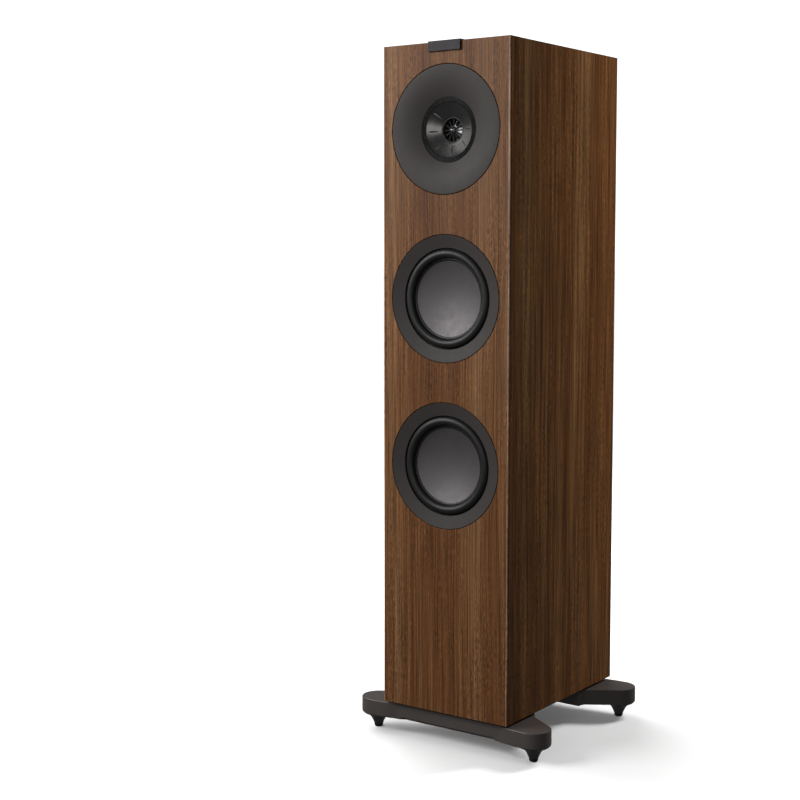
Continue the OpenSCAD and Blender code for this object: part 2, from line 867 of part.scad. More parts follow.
module gasket() {
    gasket_half = 95;
    difference() {
        block([-gasket_half, bar_front + 10, -bar_gap], [gasket_half, bar_inner - 8, 0]);
        for (x = [-bolt_x, bolt_x]) translate([x, front_y + bolt_y, cabinet_lift - bar_gap - past])
            cylinder(r = bolt_r + screw_clearance, h = bar_gap + 2 * past);
    }
}

module plinth_gaskets() {
    color("black") {
        gasket();
        to_rear() gasket();
    }
}

module plinth_bolts() {
    head_z = bar_z + bolt_sink;
    color("gray") at_bolts() {
        translate([0, 0, head_z]) cylinder(r = bolt_head_r, h = bolt_head_t);
        translate([0, 0, head_z + bolt_head_t - eps])
            cylinder(r = bolt_r, h = cabinet_lift + bolt_reach - head_z - bolt_head_t + eps);
    }
}

module at_foot(x_side, y_side) {
    y = y_side < 0 ? front_y + foot_inset : back_y - foot_inset;
    translate([x_side * foot_x, y, 0]) children();
}

// A turned foot: a wide shoulder under the pad, a neck and a cone, with its threaded stud on top
// and a socket for its tip below.
module foot(x_side, y_side) {
    low = tip_h + fit_gap;
    top = bar_z - 0.1;
    shoulder_r = pad_r - 2.4;
    neck = [8.6, 11]; // radius and height of the neck's lower end
    fillet = [[1.5, 2.4], [3.6, 5.2], [7.6, 8.2]]; // from the neck out to the shoulder
    socket = tip_pin_r + thread_gap;
    socket_top = tip_h + tip_pin_h + 0.3;
    color("dimgray") at_foot(x_side, y_side) turned([
        [socket, low], [tip_r + 0.2, low], neck, neck + fillet[0], neck + fillet[1],
        neck + fillet[2], [shoulder_r, top - 1.1], [shoulder_r, top],
        [stud_r, top], [stud_r, top + stud_length], [0, top + stud_length],
        [0, socket_top], [socket, socket_top]
    ]);
}

// The soft tip that stands on the floor while the foot turns on it.
module foot_tip(x_side, y_side) {
    color("black") at_foot(x_side, y_side) turned([
        [0, 0], [tip_r - 2, 0], [tip_r - 0.7, 0.6], [tip_r, 2], [tip_r, tip_h],
        [tip_pin_r, tip_h], [tip_pin_r, tip_h + tip_pin_h], [0, tip_h + tip_pin_h]
    ]);
}

front_baffle();
side_panel(-1);  // left_side
side_panel(1);  // right_side
top_panel();
bottom_panel();
back_panel();
shelf_and_braces();
wadding();
badge();
woofer_trim_rings();
woofer_chassis();
woofer_surround(upper_woofer_z);  // upper_woofer_surround
woofer_surround(lower_woofer_z);  // lower_woofer_surround
woofer_cone(upper_woofer_z);  // upper_woofer_cone
woofer_cone(lower_woofer_z);  // lower_woofer_cone
woofer_voice_coil(upper_woofer_z);  // upper_woofer_voice_coil
woofer_voice_coil(lower_woofer_z);  // lower_woofer_voice_coil
woofer_spiders();
woofer_top_plates();
woofer_magnets();
woofer_pole_plates();
mid_flare();
mid_chassis();
mid_surround();
mid_cone();
mid_voice_coil();
mid_spider();
mid_top_plate();
mid_magnet();
mid_pole_plate();
tweeter_waveguide();
tweeter_dome();
tweeter_surround();
tweeter_housing();
tweeter_motor();
wood_screws();
port(lower_port_z);  // lower_port
port(upper_port_z);  // upper_port
crossover_board();
crossover_coils();
crossover_capacitors();
speaker_wires();
terminal_plate();
binding_posts();
clamp_washer(1);  // clamp_washer_red
clamp_washer(-1);  // clamp_washer_black
knob(1, "firebrick");  // knob_red
knob(-1, "black");  // knob_black
plinth_front();
plinth_rear();
plinth_gaskets();
plinth_bolts();
foot(-1, -1);  // foot_front_left
foot(1, -1);  // foot_front_right
foot(-1, 1);  // foot_rear_left
foot(1, 1);  // foot_rear_right
foot_tip(-1, -1);  // foot_tip_front_left
foot_tip(1, -1);  // foot_tip_front_right
foot_tip(-1, 1);  // foot_tip_rear_left
foot_tip(1, 1);  // foot_tip_rear_right
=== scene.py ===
# Floorstanding speaker: the visible pieces, their finishes and the studio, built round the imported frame.
# Places and lengths are metres in the frame: +Z up, the front faces -Y. Profiles are millimetres of
# radius and depth, where depth is measured back from the front face (or out from the back face).
import math

import bmesh
import bpy
from mathutils import Matrix, Vector


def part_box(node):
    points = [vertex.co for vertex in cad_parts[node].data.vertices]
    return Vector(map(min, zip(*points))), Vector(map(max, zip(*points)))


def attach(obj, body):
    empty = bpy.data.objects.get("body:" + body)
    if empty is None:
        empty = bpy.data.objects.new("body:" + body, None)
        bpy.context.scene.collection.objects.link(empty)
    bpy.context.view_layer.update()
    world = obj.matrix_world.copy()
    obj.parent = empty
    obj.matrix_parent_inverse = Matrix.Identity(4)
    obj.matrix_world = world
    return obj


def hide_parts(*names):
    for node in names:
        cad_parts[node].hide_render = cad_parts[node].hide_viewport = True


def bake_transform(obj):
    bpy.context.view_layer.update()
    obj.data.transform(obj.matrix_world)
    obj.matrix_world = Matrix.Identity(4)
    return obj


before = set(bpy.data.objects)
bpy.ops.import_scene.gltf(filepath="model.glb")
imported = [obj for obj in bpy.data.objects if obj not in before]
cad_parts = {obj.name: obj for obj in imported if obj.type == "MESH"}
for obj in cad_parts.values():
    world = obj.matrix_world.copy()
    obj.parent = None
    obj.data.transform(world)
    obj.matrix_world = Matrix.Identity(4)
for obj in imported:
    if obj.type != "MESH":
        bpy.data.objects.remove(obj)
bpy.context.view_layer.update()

MM = 0.001

# ---- Places taken from the frame ----

baffle_low, baffle_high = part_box("front_baffle")
front_y = baffle_low.y
back_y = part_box("back_panel")[1].y
underside = baffle_low.z
cabinet_top = baffle_high.z
half_width = baffle_high.x


def middle(node):
    """The middle of a CAD node's box."""
    low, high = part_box(node)
    return (low + high) / 2


def driver_origin(node):
    """The point on the front face that a driver is turned about."""
    return Vector((0, front_y, middle(node).z))


MID = driver_origin("mid_cone")
UPPER_WOOFER = driver_origin("upper_woofer_cone")
LOWER_WOOFER = driver_origin("lower_woofer_cone")

# ---- Driver profile sizes, in millimetres ----

# Trims, and the stepped holes behind them
TRIM_R = 88.9
TRIM_BACK = 6.2
REBATE_R = 89.8
REBATE_DEPTH = 9.2
DRIVER_HOLE_R = 77
# Woofer ring, cone and half-roll surround
RING_R = 70.8
RING_DISH = 5
CONE_R = 55
CONE_EDGE = 10
CONE_DISH = 10
CONE_WALL = 0.8
ROLL_MID_R = 63
ROLL_DEPTH = 9.5
ROLL_R = 6.8
# Mid flare and cone
FLARE_R = 45
FLARE_DEPTH = 9
MID_EDGE = 9.6
MID_CONE_R = 38.4
MID_THROAT = 18.9
MID_THROAT_R = 18.2
# Horn ring and dome
HORN_R = 17.9
HORN_FRONT = 19.3
FIN_COUNT = 12
DOME_R = 12.4
DOME_FRONT = 24.4
DOME_RISE = 4

# Steps round a turned piece, and wedges round a surround
TURN_STEPS = 192
WEDGES = 24


# ---- Meshes ----

def to_object(bm, name, *materials, sharp=32):
    """A shown object from a bmesh, smooth except at edges sharper than an angle in degrees."""
    mesh = bpy.data.meshes.new(name)
    bmesh.ops.recalc_face_normals(bm, faces=bm.faces)
    bm.to_mesh(mesh)
    bm.free()
    mesh.shade_smooth()
    mesh.set_sharp_from_angle(angle=math.radians(sharp))
    for material in materials:
        mesh.materials.append(material)
    obj = bpy.data.objects.new(name, mesh)
    bpy.context.scene.collection.objects.link(obj)
    return obj


def apply_modifiers(obj):
    """Keeps the result of an object's modifiers as its mesh."""
    depsgraph = bpy.context.evaluated_depsgraph_get()
    mesh = bpy.data.meshes.new_from_object(obj.evaluated_get(depsgraph))
    obj.modifiers.clear()
    obj.data = mesh
    return obj


def weigh_normals(obj):
    """Lets large flat faces stay flat beside their small round edges."""
    modifier = obj.modifiers.new("weigh", "WEIGHTED_NORMAL")
    modifier.keep_sharp = True
    modifier.weight = 100
    return apply_modifiers(obj)


def soften(corners, steps=5):
    """A closed outline from corners of (radius, depth) or (radius, depth, rounding)."""
    outline = []
    count = len(corners)
    for i, corner in enumerate(corners):
        here = Vector(corner[:2])
        if len(corner) == 2:
            outline.append(here)
            continue
        before = Vector(corners[i - 1][:2])
        after = Vector(corners[(i + 1) % count][:2])
        start = here + (before - here).normalized() * corner[2]
        end = here + (after - here).normalized() * corner[2]
        for step in range(steps + 1):
            t = step / steps
            outline.append((1 - t) ** 2 * start + 2 * t * (1 - t) * here + t ** 2 * end)
    return outline


def evenly(first, last, steps):
    """Numbers from first to last, in equal steps."""
    return [first + (last - first) * i / steps for i in range(steps + 1)]


def arc(centre, radius, start, end, steps):
    """Points along an arc, with angles in degrees."""
    angles = [math.radians(a) for a in evenly(start, end, steps)]
    return [Vector(centre) + radius * Vector((math.cos(a), math.sin(a))) for a in angles]


def turned(bm, outline, origin, axis="y", steps=TURN_STEPS, start=0.0, sweep=360.0, shape=None):
    """Adds a closed outline of (radius, depth) in millimetres, turned about an axis through an origin.
    shape moves a point: it takes radius, depth and angle, and returns radius and depth."""
    full = sweep >= 360
    count = steps if full else steps + 1
    rings = []
    for i in range(count):
        angle = math.radians(start + sweep * i / steps)
        ring = []
        for j, (radius, depth) in enumerate(outline):
            on_axis = radius < 1e-6
            if on_axis and rings:
                ring.append(rings[0][j])
                continue
            if shape:
                radius, depth = shape(radius, depth, angle)
            a = radius * MM * math.cos(angle)
            b = radius * MM * math.sin(angle)
            offset = (a, depth * MM, b) if axis == "y" else (a, b, depth * MM)
            ring.append(bm.verts.new(Vector(origin) + Vector(offset)))
        rings.append(ring)
    points = len(outline)
    for i in range(steps):
        near, far = rings[i], rings[(i + 1) % count]
        for j in range(points):
            k = (j + 1) % points
            corners = [near[j], near[k], far[k], far[j]]
            unique = list(dict.fromkeys(corners))
            if len(unique) > 2:
                bm.faces.new(unique)
    if not full:
        bm.faces.new(rings[0])
        bm.faces.new(rings[-1])
    return rings


def turned_piece(name, outline, origins, material, axis="y", steps=TURN_STEPS, shape=None):
    """A piece turned about one or more origins."""
    bm = bmesh.new()
    for origin in origins:
        turned(bm, outline, origin, axis, steps, shape=shape)
    return weigh_normals(to_object(bm, name, material))


def block(low, high):
    """A bmesh of a block between two corners."""
    bm = bmesh.new()
    size = Vector(high) - Vector(low)
    matrix = Matrix.Translation((Vector(low) + Vector(high)) / 2) @ Matrix.Diagonal((*size, 1))
    bmesh.ops.create_cube(bm, size=1, matrix=matrix)
    return bm


def round_edges(bm, wanted, width, segments=3, material=-1, clamp=True):
    """Rounds the edges that wanted(middle, direction) picks.
    clamp narrows all the rounds where some would cross."""
    edges = [
        e for e in bm.edges
        if wanted((e.verts[0].co + e.verts[1].co) / 2, (e.verts[1].co - e.verts[0].co).normalized())
    ]
    bmesh.ops.bevel(
        bm, geom=edges, offset=width, offset_type="OFFSET", segments=segments, profile=0.5,
        affect="EDGES", clamp_overlap=clamp, material=material
    )


def along(component):
    """Whether a part of a unit direction is nearly all of it."""
    return abs(component) > 0.9


def is_near(a, b):
    return abs(a - b) < 0.05 * MM


def hole(outline, origin, steps=TURN_STEPS):
    """A turned cutter."""
    bm = bmesh.new()
    turned(bm, outline, origin, steps=steps)
    return to_object(bm, "hole")


def cut(obj, cutters):
    """Takes other objects out of one, then removes them."""
    for cutter in cutters:
        modifier = obj.modifiers.new("cut", "BOOLEAN")
        modifier.operation = "DIFFERENCE"
        modifier.solver = "EXACT"
        modifier.object = cutter
    apply_modifiers(obj)
    for cutter in cutters:
        bpy.data.objects.remove(cutter)


def place(obj, body, slot, *nodes):
    """Makes a piece stand for CAD nodes on a body: hides the nodes and hangs the piece from the body's
    empty. The slot is not used.
    """
    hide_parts(*nodes)
    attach(obj, body)


# ---- Finishes ----

class Finish:
    """A material while it is wired up. Each method adds a node and returns its output."""

    def __init__(self, name, roughness, metallic=0.0, specular=0.5, coat=0.0):
        self.material = bpy.data.materials.new(name)
        self.material.use_nodes = True
        self.tree = self.material.node_tree
        self.shader = self.tree.nodes["Principled BSDF"]
        self.shader.inputs["Roughness"].default_value = roughness
        self.shader.inputs["Metallic"].default_value = metallic
        self.shader.inputs["Specular IOR Level"].default_value = specular
        self.shader.inputs["Coat Weight"].default_value = coat
        self.place = self.node("ShaderNodeTexCoord").outputs["Object"]

    def node(self, kind, inputs=(), **settings):
        made = self.tree.nodes.new(kind)
        for key, value in settings.items():
            setattr(made, key, value)
        for key, value in dict(inputs).items():
            self.feed(made.inputs[key], value)
        return made

    def feed(self, socket, value):
        if isinstance(value, bpy.types.NodeSocket):
            self.tree.links.new(value, socket)
        else:
            socket.default_value = value

    def scaled(self, scale, place=None):
        """A place scaled along each axis, or by one number."""
        scale = scale if isinstance(scale, tuple) else (scale,) * 3
        return self.node("ShaderNodeMapping", {"Vector": place or self.place, "Scale": scale}).outputs[0]

    def axes(self, scale):
        """The three scaled parts of the place."""
        return self.node("ShaderNodeSeparateXYZ", {0: self.scaled(scale)}).outputs

    def noise(self, scale, detail, roughness, place=None):
        """Noise of so many cells per metre, one number for all axes or one for each."""
        vector = self.scaled(scale, place)
        inputs = {"Vector": vector, "Scale": 1.0, "Detail": detail, "Roughness": roughness}
        return self.node("ShaderNodeTexNoise", inputs).outputs["Fac"]

    def maths(self, operation, a, b=0.0):
        return self.node("ShaderNodeMath", {0: a, 1: b}, operation=operation).outputs[0]

    def vector(self, operation, a, b):
        return self.node("ShaderNodeVectorMath", {0: a, 1: b}, operation=operation).outputs[0]

    def spread(self, value, low, high, to_low=0.0, to_high=1.0):
        """Moves a value from one range to another, and holds it there."""
        inputs = {
            "Value": value, "From Min": low, "From Max": high, "To Min": to_low, "To Max": to_high
        }
        return self.node("ShaderNodeMapRange", inputs).outputs[0]

    def stretch(self, noise, to_low, to_high):
        """Spreads a noise's usual range over another."""
        return self.spread(noise, 0.3, 0.7, to_low, to_high)

    def ramp(self, value, stops):
        """Colours along a value, from stops of (position, colour)."""
        made = self.node("ShaderNodeValToRGB", {"Fac": value})
        elements = made.color_ramp.elements
        while len(elements) < len(stops):
            elements.new(0.5)
        for element, (position, colour) in zip(elements, stops):
            element.position = position
            element.color = (*colour, 1)
        return made.outputs["Color"]

    def tinted(self, colour, tint):
        made = self.node("ShaderNodeMix", data_type="RGBA", blend_type="MULTIPLY")
        self.feed(made.inputs["Factor"], 1.0)
        self.feed(made.inputs["A"], colour)
        self.feed(made.inputs["B"], (*tint, 1))
        return made.outputs["Result"]

    def shaded(self, colour, shade):
        inputs = {0: colour, "Scale": shade}
        return self.node("ShaderNodeVectorMath", inputs, operation="SCALE").outputs[0]

    def bump(self, height, strength, distance):
        inputs = {"Height": height, "Strength": strength, "Distance": distance}
        self.feed(self.shader.inputs["Normal"], self.node("ShaderNodeBump", inputs).outputs[0])

    def colour(self, value):
        self.feed(self.shader.inputs["Base Color"], value)

    def rough(self, value):
        self.feed(self.shader.inputs["Roughness"], value)


def times(colour, share):
    return tuple(c * share for c in colour)


def walnut(name, across, down, tint=(1.0, 1.0, 1.0), painted_shade_ramp=None, fineness=1.0):
    """Straight-grained walnut veneer. The unit vectors across and down the grain lie on the face.
    The shade ramp paints shade across the grain, as light would fall: from one place to another, between
    two shades."""
    finish = Finish(name, roughness=0.5, specular=0.09)

    def grain(cells_across, cells_down):
        return tuple(cells_across * a + cells_down * b for a, b in zip(across, down))

    # The grain wanders a few millimetres sideways over a long run.
    wander = finish.node("ShaderNodeTexNoise", {
        "Vector": finish.scaled(grain(6, 2.2)), "Scale": 1.0, "Detail": 1.0
    }).outputs["Color"]
    centred = finish.vector("SUBTRACT", wander, (0.5, 0.5, 0.5))
    wood = finish.vector("ADD", finish.place, finish.vector("MULTIPLY", centred, times(across, 0.014)))

    bands = finish.noise(grain(30, 0.7), 3, 0.5, wood)
    base = finish.ramp(bands, [
        (0.30, (0.060, 0.0225, 0.0075)), (0.45, (0.087, 0.035, 0.0125)),
        (0.58, (0.109, 0.0485, 0.019)), (0.72, (0.130, 0.065, 0.029)),
    ])
    rings = finish.node("ShaderNodeTexWave", {
        "Vector": finish.scaled(grain(52, 1.3), wood), "Scale": 1.0, "Distortion": 6.0,
        "Detail": 3.0, "Detail Scale": 1.4, "Detail Roughness": 0.6,
    }, wave_type="BANDS", bands_direction="DIAGONAL", wave_profile="SAW").outputs["Fac"]
    streaks = finish.noise(grain(440 * fineness, 4), 4, 0.6, wood)
    hairs = finish.noise(grain(1200 * fineness, 16), 3, 0.65, wood)
    # Short flecks, darker and lighter, lie in some bands and hardly show in others.
    flecks = finish.noise(grain(640, 125), 2, 0.55, wood)
    patch = finish.noise(grain(30, 4), 2, 0.5, wood)
    patch_share = finish.spread(patch, 0.42, 0.60, 0.25, 1.0)
    dark_pores = finish.maths("MULTIPLY", finish.spread(flecks, 0.54, 0.68), patch_share)
    light_flecks = finish.maths("MULTIPLY", finish.spread(flecks, 0.44, 0.30), patch_share)

    layers = [
        (streaks, 0.34, 0.66, 0.55, 1.50), (hairs, 0.34, 0.66, 0.70, 1.34),
        (dark_pores, 0, 1, 1.0, 0.42), (light_flecks, 0, 1, 1.0, 1.8),
    ]
    # Painted shade: the colour is scaled between two shades across the face, from one place to another, as
    # light falls on it.
    if painted_shade_ramp:
        inputs = {0: finish.place, 1: across}
        shade_ramp_place = finish.node("ShaderNodeVectorMath", inputs, operation="DOT_PRODUCT").outputs["Value"]
        layers.append((shade_ramp_place, *painted_shade_ramp))
    shade = finish.spread(rings, 0.5, 1.0, 1.0, 0.78)
    for layer in layers:
        shade = finish.maths("MULTIPLY", shade, finish.spread(*layer))
    finish.colour(finish.shaded(finish.tinted(base, tint), shade))
    finish.rough(finish.stretch(streaks, 0.44, 0.56))
    relief = finish.maths("SUBTRACT", finish.spread(streaks, 0.2, 0.8, 0, 0.5), dark_pores)
    finish.bump(relief, 0.3, 0.0002)
    return finish.material


def moulded(name, colour, roughness, grain=2600, strength=0.12, mottle=0.06, **surface):
    """Moulded, coated or cast material: fine surface grain, with slight mottling of colour and gloss."""
    finish = Finish(name, roughness, **surface)
    cloud = finish.noise(14, 3, 0.55)
    finish.colour(finish.ramp(cloud, [(0.3, times(colour, 1 - mottle)), (0.7, times(colour, 1 + mottle))]))
    fine = finish.noise(grain, 2, 0.6)
    smear = finish.noise(90, 3, 0.6)
    smeared = finish.stretch(smear, roughness - 0.035, roughness + 0.035)
    finish.rough(finish.maths("ADD", smeared, finish.stretch(fine, -0.02, 0.02)))
    finish.bump(fine, strength, 0.00012)
    return finish.material


def brushed(name, colour, roughness, axis):
    """Metal with fine drawn lines along one axis of the frame."""
    finish = Finish(name, roughness, metallic=1.0)
    lines = finish.noise(tuple(60 if a else 2400 for a in axis), 3, 0.6)
    finish.colour(finish.ramp(lines, [(0.3, times(colour, 0.86)), (0.7, colour)]))
    finish.rough(finish.stretch(lines, roughness - 0.06, roughness + 0.08))
    finish.bump(lines, 0.12, 0.00008)
    return finish.material


def woven(name, colour, pitch):
    """Cloth or wadding with a crossing thread pattern of a pitch in metres."""
    finish = Finish(name, 0.85, specular=0.2)
    axes = finish.axes(2 * math.pi / pitch)
    first = finish.maths("SINE", finish.maths("ADD", axes[0], axes[1]))
    second = finish.maths("SINE", finish.maths("SUBTRACT", axes[2], axes[1]))
    weave = finish.spread(finish.maths("MULTIPLY", first, second), -1, 1, 0, 0.6)
    fuzz = finish.stretch(finish.noise(700, 4, 0.7), 0, 0.4)
    level = finish.maths("ADD", weave, fuzz)
    finish.colour(finish.ramp(level, [(0.1, times(colour, 0.62)), (0.9, colour)]))
    finish.bump(level, 0.5, pitch / 3)
    return finish.material


def pressed_board(name, colour):
    """Pressed wood fibre with small darker flecks."""
    finish = Finish(name, 0.8, specular=0.25)
    fibre = finish.noise(900, 5, 0.75)
    cloud = finish.noise(60, 3, 0.6)
    level = finish.maths("ADD", finish.stretch(fibre, 0, 0.7), finish.stretch(cloud, 0, 0.3))
    finish.colour(finish.ramp(level, [(0.15, times(colour, 0.55)), (0.85, colour)]))
    finish.bump(fibre, 0.3, 0.0002)
    return finish.material


def wound(name, colour, pitch):
    """Enamelled wire wound at a pitch in metres."""
    finish = Finish(name, 0.3, metallic=0.85)
    axes = finish.axes(2 * math.pi / pitch)
    turns = finish.maths("SINE", finish.maths("ADD", axes[1], axes[2]))
    finish.colour(finish.ramp(finish.spread(turns, -1, 1), [(0.0, times(colour, 0.35)), (0.6, colour)]))
    finish.bump(turns, 0.6, pitch / 4)
    return finish.material


FRONT_GRAIN = walnut("walnut front", (1, 0, 0), (0, 0, 1))
# The sides' walnut is a shaded copy of the front's: tinted a little warmer, with painted shade from dark at
# the front edge to light towards the back.
SIDE_GRAIN_PAINTED_SHADE = walnut(
    "walnut side painted shade", (0, 1, 0), (0, 0, 1), (1.0, 0.99, 0.87), painted_shade_ramp=(front_y, back_y, 0.5, 1.2), fineness=0.4
)
TOP_GRAIN = walnut("walnut top", (1, 0, 0), (0, 1, 0))
# Painted highlight: the baffle's rounded upright edges get a much lighter, greyer walnut, as if they caught
# the light.
EDGE_PAINTED_HIGHLIGHT = walnut("walnut edge painted highlight", (1, 0, 0), (0, 0, 1), tint=(2.6, 3.5, 5.5))
# Painted shade: a near-black line on eased panel edges and beside the baffle's front edges, where a gap's
# shadow would show.
PAINTED_GAP_SHADE = moulded("painted gap shade line", (0.008, 0.005, 0.004), 0.7, specular=0.1)
BOARD = pressed_board("pressed board", (0.36, 0.25, 0.15))
WADDING = woven("polyester wadding", (0.72, 0.72, 0.70), 0.006)
SATIN_BLACK = moulded("satin black plastic", (0.018, 0.0175, 0.017), 0.42)
TRIM_GREY = moulded("trim grey plastic", (0.031, 0.0278, 0.0264), 0.52, specular=0.09)
BADGE_GREY = moulded("badge grey", (0.022, 0.020, 0.0207), 0.5, specular=0.09)
CHASSIS_GREY = moulded("cast chassis grey", (0.10, 0.10, 0.10), 0.5, metallic=0.6)
RUBBER = moulded("black rubber", (0.0065, 0.0066, 0.0066), 0.46, 1800, 0.06, specular=0.2)
CONE_METAL = moulded(
    "coated aluminium cone", (0.066, 0.061, 0.063), 0.56, strength=0.05, mottle=0.04, metallic=0.7
)
MID_METAL = moulded(
    "mid cone aluminium", (0.050, 0.048, 0.047), 0.26, strength=0.05, mottle=0.04, metallic=0.8
)
DOME_METAL = moulded(
    "bright dome aluminium", (0.42, 0.42, 0.41), 0.36, strength=0.03, mottle=0.02, metallic=1.0
)
HORN_BLACK = moulded("horn black", (0.007, 0.007, 0.007), 0.5, specular=0.2)
COPPER = wound("copper winding", (0.80, 0.36, 0.16), 0.0008)
SPIDER_CLOTH = woven("spider cloth", (0.62, 0.44, 0.16), 0.0012)
MOTOR_STEEL = brushed("plated motor steel", (0.55, 0.55, 0.56), 0.32, (1, 0, 0))
MAGNET = moulded("sintered magnet", (0.045, 0.045, 0.048), 0.55, grain=1500, strength=0.3)
BLACK_STEEL = moulded("black steel", (0.022, 0.022, 0.023), 0.35, metallic=0.7)
BOARD_GREEN = moulded("circuit board green", (0.015, 0.11, 0.04), 0.35, coat=0.4)
CAPACITOR = moulded("capacitor sleeve", (0.03, 0.09, 0.24), 0.3, coat=0.3)
LEAD_RED = moulded("lead insulation", (0.38, 0.02, 0.02), 0.4)
GOLD = brushed("gold plating", (0.92, 0.66, 0.24), 0.22, (0, 1, 0))
KNOB_RED = moulded("knob red", (0.42, 0.012, 0.012), 0.3, coat=0.3)
KNOB_BLACK = moulded("knob black", (0.016, 0.016, 0.017), 0.3, coat=0.3)
PLINTH_GREY = moulded("plinth grey", (0.047, 0.040, 0.0375), 0.36, strength=0.08, specular=0.45)
FOOT_BLACK = moulded("foot black", (0.016, 0.0155, 0.015), 0.38)


# ---- Cabinet ----

EDGE_ROUND = 1.6 * MM
FINE_ROUND = 0.6 * MM
# Width of the painted gap shade strip beside the baffle's front edges
GAP_SHADE_WIDTH = 2.0 * MM
PANEL_SHARP = 40

# Material slots of a wooden panel: the grains for faces along X, Y and Z (the X one with painted shade),
# then a painted highlight and a painted gap shade for its edges
PANEL_MATERIALS = (SIDE_GRAIN_PAINTED_SHADE, FRONT_GRAIN, TOP_GRAIN, EDGE_PAINTED_HIGHLIGHT, PAINTED_GAP_SHADE)
HIGHLIGHT_EDGE_SLOT, GAP_SHADE_SLOT = 3, 4


def finish_panel(obj, node):
    """Gives each face of a wooden panel the grain for the way it faces, and puts the panel in its place."""
    for material in PANEL_MATERIALS:
        obj.data.materials.append(material)
    for face in obj.data.polygons:
        facing = [abs(n) for n in face.normal]
        if face.material_index < HIGHLIGHT_EDGE_SLOT:
            face.material_index = facing.index(max(facing))
    obj.data.set_sharp_from_angle(angle=math.radians(PANEL_SHARP))
    weigh_normals(obj)
    place(obj, "cabinet", "walnut", node)


def panel(node, outer_edges):
    """A veneered panel with its outer edges eased, where outer_edges(middle, direction) picks them."""
    bm = block(*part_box(node))
    # The eased edges get the painted gap shade.
    round_edges(bm, outer_edges, FINE_ROUND, 2, material=GAP_SHADE_SLOT)
    finish_panel(to_object(bm, "veneered_" + node), node)


def front_baffle():
    bm = block(baffle_low, baffle_high)
    seam_y = front_y + EDGE_ROUND + GAP_SHADE_WIDTH
    everything = bm.verts[:] + bm.edges[:] + bm.faces[:]
    bmesh.ops.bisect_plane(bm, geom=everything, plane_co=(0, seam_y, 0), plane_no=(0, 1, 0))
    # The front's upright edges are rounded in the painted highlight.
    round_edges(bm, lambda m, d: is_near(m.y, front_y) and along(d.z), EDGE_ROUND, 4, material=HIGHLIGHT_EDGE_SLOT)
    # Painted gap shade: a near-black strip on each side face beside the front edge, and on the rounds of
    # the front's top and bottom edges.
    for face in bm.faces:
        beside = front_y < face.calc_center_median().y < seam_y
        if beside and abs(face.normal.x) > 0.99:
            face.material_index = GAP_SHADE_SLOT
    round_edges(bm, lambda m, d: is_near(m.y, front_y) and along(d.x), FINE_ROUND, 2, material=GAP_SHADE_SLOT)
    obj = to_object(bm, "veneered_front_baffle")
    # The holes' mouths are eased, and the cutters run past both faces.
    ease, before, behind = 0.5, 3, 30
    outline = [
        (0, -before), (REBATE_R + ease + before, -before), (REBATE_R, ease), (REBATE_R, REBATE_DEPTH),
        (DRIVER_HOLE_R, REBATE_DEPTH), (DRIVER_HOLE_R, behind), (0, behind),
    ]
    cut(obj, [hole(outline, origin) for origin in (MID, UPPER_WOOFER, LOWER_WOOFER)])
    finish_panel(obj, "front_baffle")


def side_panel(node, side):
    outer = half_width * side
    panel(node, lambda m, d: is_near(m.x, outer) and (along(d.y) or is_near(m.y, back_y)))


def top_panel():
    panel("top_panel", lambda m, d: is_near(m.z, cabinet_top) and is_near(m.y, back_y))


def badge():
    """A blank plate that hooks over the cabinet's top edge."""
    plate_round, hook_round = 0.7 * MM, 0.5 * MM
    low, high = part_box("badge")
    bm = block(low, (high.x, front_y, high.z))
    round_edges(bm, lambda m, d: m.y < front_y - 1 * MM and not along(d.y), plate_round)
    hook = block((low.x, front_y - 0.2 * MM, cabinet_top), high)
    round_edges(hook, lambda m, d: is_near(m.z, high.z) and is_near(m.y, high.y), hook_round)
    mesh = bpy.data.meshes.new("hook")
    hook.to_mesh(mesh)
    hook.free()
    bm.from_mesh(mesh)
    obj = weigh_normals(to_object(bm, "blank_badge", BADGE_GREY))
    place(obj, "cabinet", "trim_grey", "badge")


# ---- Woofers ----

def woofer_rings():
    outline = soften([
        (RING_R, RING_DISH, 0.5), (TRIM_R, 0, 0.6), (TRIM_R, TRIM_BACK), (RING_R, TRIM_BACK),
    ])
    obj = turned_piece("woofer_trim_rings", outline, [UPPER_WOOFER, LOWER_WOOFER], TRIM_GREY)
    place(obj, "cabinet", "trim_grey", "woofer_trim_rings")


def cone_depth(radius):
    """How deep a woofer cone's face lies, as a shallow bowl."""
    return CONE_EDGE + CONE_DISH * (1 - (radius / CONE_R) ** 2)


def woofer_cone(name, origin):
    radii = evenly(0, CONE_R, 28)
    line = [(r, cone_depth(r)) for r in radii]
    back = [(r, cone_depth(r) + CONE_WALL) for r in reversed(radii)]
    obj = turned_piece(f"{name}_woofer_dish", line + back, [origin], CONE_METAL)
    place(obj, f"{name}_woofer", "cone_aluminium", f"{name}_woofer_cone")


def wedges(name, outline, origin, node):
    """A rubber ring made as separate wedges, standing in for a CAD node that is hidden."""
    step = 360 / WEDGES
    for i in range(WEDGES):
        bm = bmesh.new()
        rings = turned(bm, outline, origin, steps=8, start=i * step, sweep=step)
        for ring in (rings[0], rings[-1]):
            cap = [f for f in bm.faces if all(v in ring for v in f.verts)]
            bmesh.ops.delete(bm, geom=cap, context="FACES_ONLY")
        obj = to_object(bm, f"{name}_{i:02d}", RUBBER, sharp=50)
        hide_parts(node)
        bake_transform(obj)


